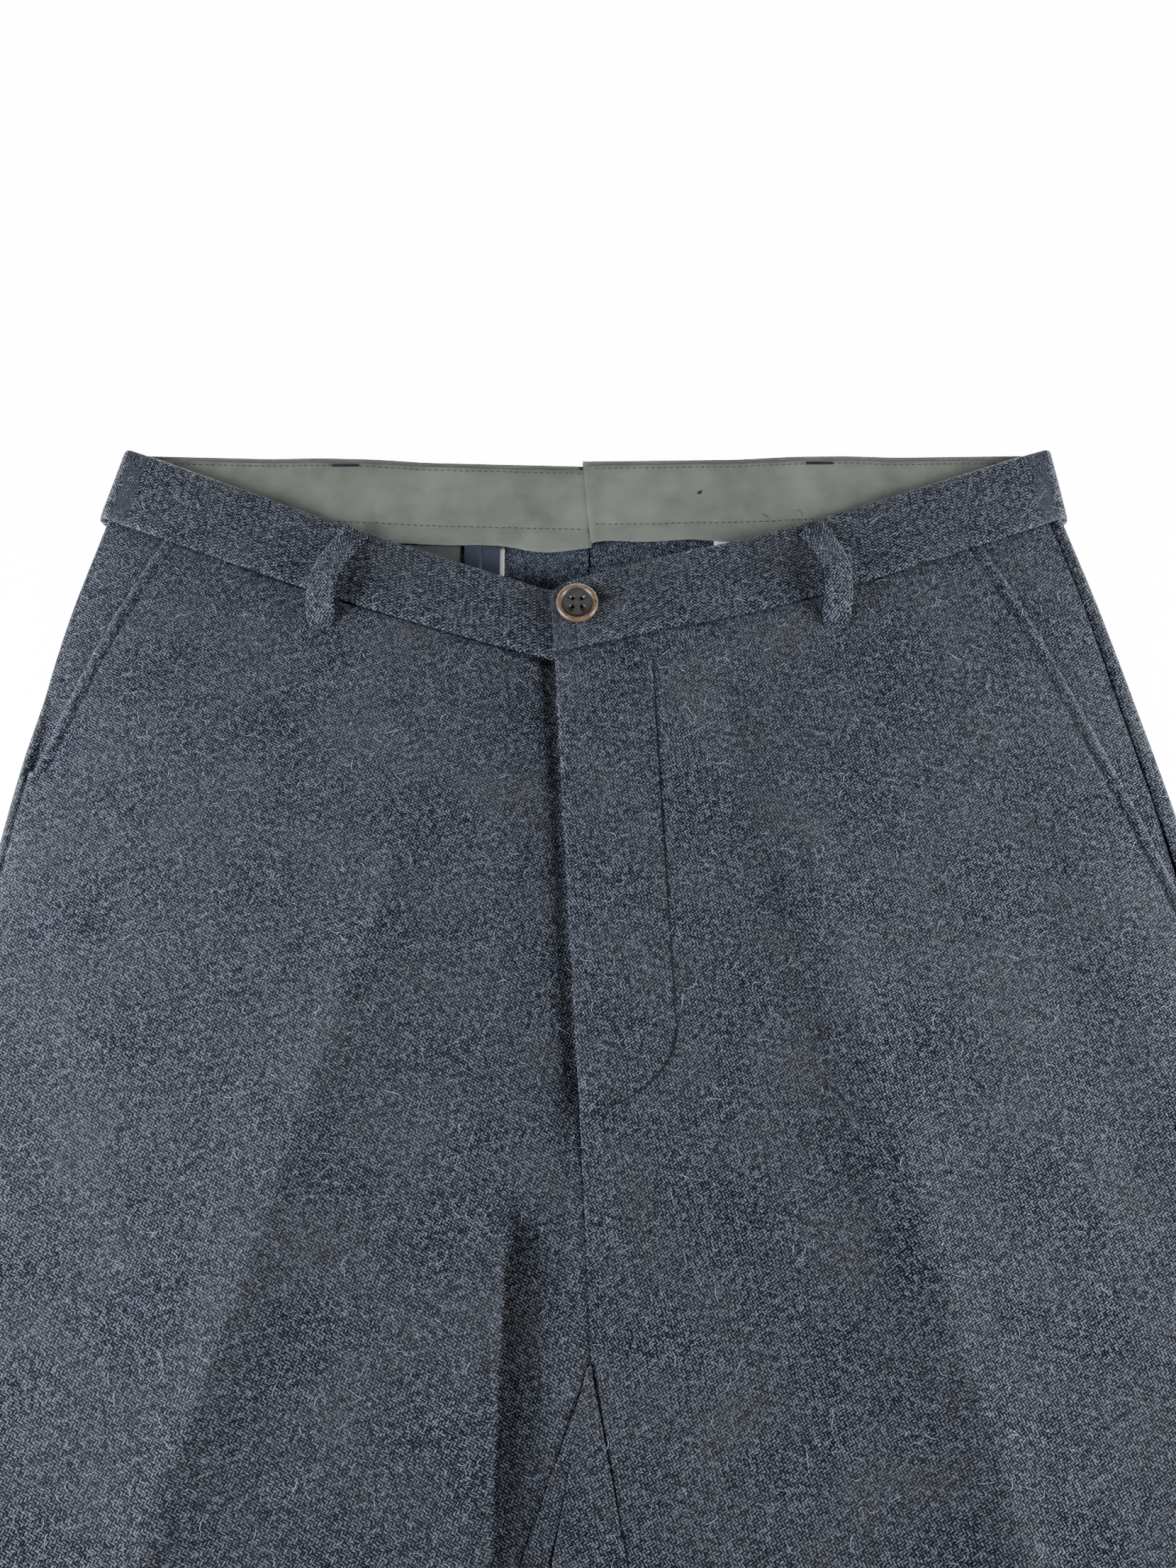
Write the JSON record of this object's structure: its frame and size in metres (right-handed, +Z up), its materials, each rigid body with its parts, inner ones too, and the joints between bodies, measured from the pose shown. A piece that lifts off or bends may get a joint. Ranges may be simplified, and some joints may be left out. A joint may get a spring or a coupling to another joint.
{
  "type": "pair of wool trousers laid flat",
  "caption": "Dark wool trousers laid flat, front up, with a waistband, belt loops, slanted pockets and a button.",
  "frame": {"origin": "bottom centre of the garment's box, on the surface that it lies on", "axes": "+Z up, away from the surface; +Y from the hems towards the waist; +X to the right as seen from above with the waist away from the viewer"},
  "size_m": [0.8612, 1.1196, 0.0228],
  "materials": {
    "wool": "napped dark blue-grey wool twill",
    "wool_band": "the same wool, turned and topstitched",
    "lining": "olive grey cotton twill",
    "cream_cotton": "cream cotton pocketing",
    "binding": "dark bias binding",
    "white_satin": "plain white woven ribbon, blank",
    "horn": "mottled brown horn-like plastic"
  },
  "bodies": {
    "root": {"front_panel_left": "wool", "front_panel_right": "wool", "front_fold_left": "wool", "back_panel_left": "wool", "back_fold_left": "wool", "back_panel_right": "wool", "pocket_facing_left": "wool", "pocket_facing_right": "wool", "waistband_left": "wool_band", "waistband_right": "wool_band", "belt_loop_front_left": "wool_band", "belt_loop_front_right": "wool_band", "belt_loop_back_left": "wool_band", "belt_loop_back_right": "wool_band", "curtain_left": "lining", "curtain_right": "lining", "pocketing": "lining", "pocket_cloth": "cream_cotton", "seam_binding_outer": "binding", "seam_binding_inner": "binding", "blank_tag": "white_satin", "button": "horn"}
  },
  "joints": []
}
